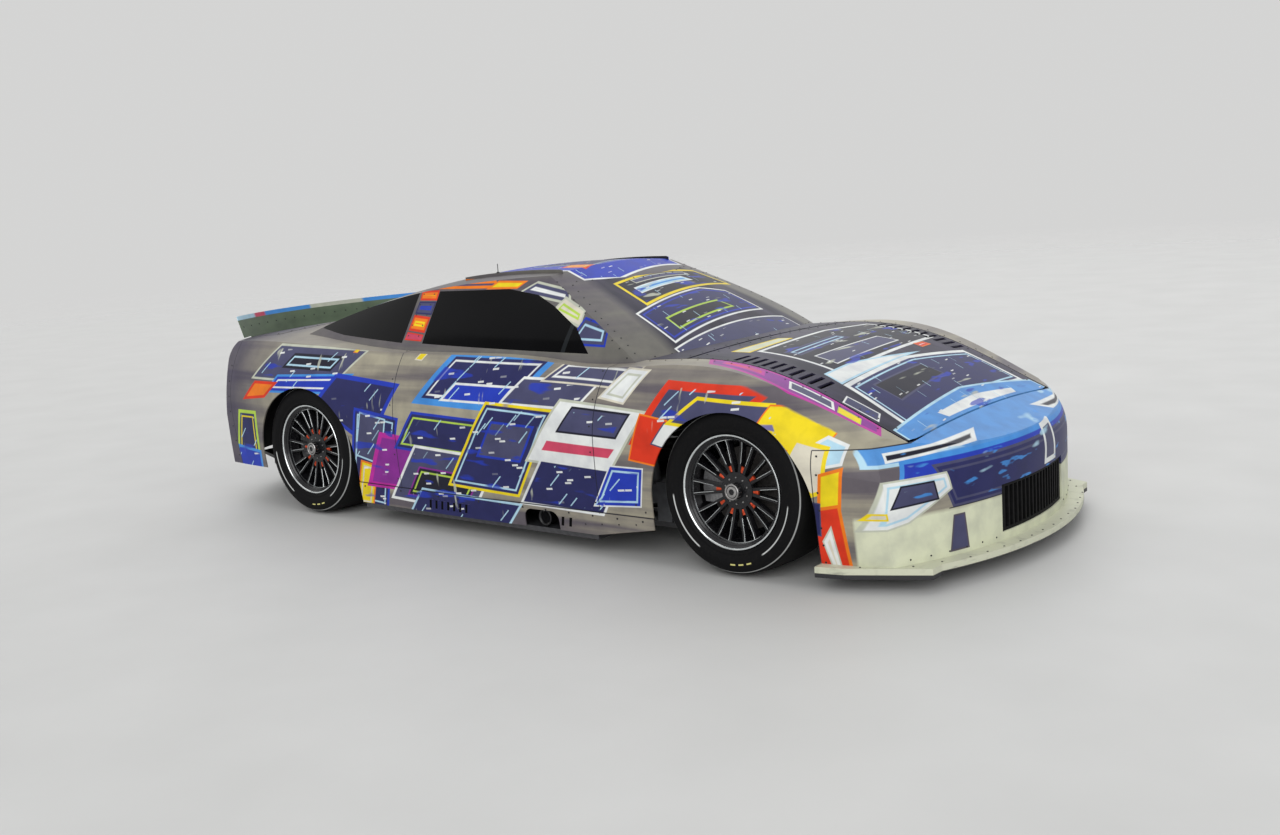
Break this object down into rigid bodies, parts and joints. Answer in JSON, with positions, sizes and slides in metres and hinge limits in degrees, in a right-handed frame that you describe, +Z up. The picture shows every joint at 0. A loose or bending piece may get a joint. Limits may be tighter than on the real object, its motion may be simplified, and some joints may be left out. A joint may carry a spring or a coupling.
{
  "type": "stock car",
  "caption": "Closed-cab oval racing car: panelled composite body over a tube frame, front splitter, rear spoiler, wide centre-lock wheels that steer and roll, opening hood and deck lid",
  "frame": {"origin": "on the floor, under the middle of the car's length and width", "axes": "+X to the nose, +Y to the driver's side, +Z up"},
  "size_m": [4.9116, 1.9932, 1.2798],
  "materials": {
    "body_paint": "satin wrap with bright angular graphics",
    "lip_paint": "satin light grey",
    "black_panel": "satin black",
    "carbon": "matt woven composite",
    "dark_window": "dark tinted polycarbonate",
    "net": "woven webbing",
    "frame_paint": "grey powder coat",
    "cast_metal": "cast and machined",
    "steel": "machined steel",
    "wheel_black": "satin black with machined lip",
    "tyre_rubber": "matt rubber",
    "disc_iron": "ground friction faces",
    "seat_fabric": "black padded fabric",
    "cell_red": "satin enamel"
  },
  "bodies": {
    "chassis": {"front_fascia": "body_paint", "grille": "black_panel", "splitter": "lip_paint", "cowl": "body_paint", "rear_fascia": "body_paint", "rear_shelf": "body_paint", "cabin_shell": "body_paint", "windshield": "body_paint", "rear_window": "dark_window", "side_windows": "dark_window", "window_net": "net", "undertray": "carbon", "frame_rails": "frame_paint", "roll_cage": "frame_paint", "seat": "seat_fabric", "dashboard": "carbon", "fuel_cell": "cell_red", "fuel_filler": "cast_metal", "drivetrain": "cast_metal", "exhaust": "steel", "front_suspension": "steel", "rear_suspension": "steel", "rear_uprights": "cast_metal", "fender_left": "body_paint", "door_left": "body_paint", "quarter_left": "body_paint", "rocker_left": "body_paint", "fender_right": "body_paint", "door_right": "body_paint", "quarter_right": "body_paint", "rocker_right": "body_paint"},
    "hood_lid": {"hood": "body_paint"},
    "deck_lid": {"decklid": "body_paint", "spoiler": "body_paint"},
    "hand_wheel": {"steering_wheel": "black_panel"},
    "steer_left": {"knuckle_left": "cast_metal"},
    "steer_right": {"knuckle_right": "cast_metal"},
    "wheel_front_left": {"tyre_front_left": "tyre_rubber", "rim_front_left": "wheel_black", "brake_disc_front_left": "disc_iron"},
    "wheel_front_right": {"tyre_front_right": "tyre_rubber", "rim_front_right": "wheel_black", "brake_disc_front_right": "disc_iron"},
    "wheel_rear_left": {"tyre_rear_left": "tyre_rubber", "rim_rear_left": "wheel_black", "brake_disc_rear_left": "disc_iron"},
    "wheel_rear_right": {"tyre_rear_right": "tyre_rubber", "rim_rear_right": "wheel_black", "brake_disc_rear_right": "disc_iron"}
  },
  "joints": [
    {"name": "hood_hinge", "type": "hinge", "parent": "chassis", "child": "hood_lid", "pos_m": [1.185, 0, 0.835], "axis": [0, -1, 0], "range_deg": [0, 55]},
    {"name": "deck_lid_hinge", "type": "hinge", "parent": "chassis", "child": "deck_lid", "pos_m": [-2, 0, 0.915], "axis": [0, 1, 0], "range_deg": [0, 50]},
    {"name": "steer_left", "type": "hinge", "parent": "chassis", "child": "steer_left", "pos_m": [1.446, 0.745, 0.35793], "axis": [0, 0, 1], "range_deg": [-25, 25]},
    {"name": "steer_right", "type": "hinge", "parent": "chassis", "child": "steer_right", "pos_m": [1.446, -0.745, 0.35793], "axis": [0, 0, 1], "range_deg": [-25, 25]},
    {"name": "hand_wheel_turn", "type": "hinge", "parent": "chassis", "child": "hand_wheel", "pos_m": [0.25, 0.33, 0.69], "axis": [-0.9397, 0, 0.342], "range_deg": [-250, 250]},
    {"name": "spin_front_left", "type": "hinge", "parent": "steer_left", "child": "wheel_front_left", "pos_m": [1.446, 0.79, 0.35793], "axis": [0, 0.999, 0.0436], "continuous": true},
    {"name": "spin_front_right", "type": "hinge", "parent": "steer_right", "child": "wheel_front_right", "pos_m": [1.446, -0.79, 0.35793], "axis": [0, 0.999, -0.0436], "continuous": true},
    {"name": "spin_rear_left", "type": "hinge", "parent": "chassis", "child": "wheel_rear_left", "pos_m": [-1.348, 0.79, 0.35684], "axis": [0, 0.9997, 0.0262], "continuous": true},
    {"name": "spin_rear_right", "type": "hinge", "parent": "chassis", "child": "wheel_rear_right", "pos_m": [-1.348, -0.79, 0.35684], "axis": [0, 0.9997, -0.0262], "continuous": true}
  ],
  "couplings": [
    {"joint": "steer_right", "follows": "steer_left", "ratio": 1},
    {"joint": "hand_wheel_turn", "follows": "steer_left", "ratio": 10}
  ]
}
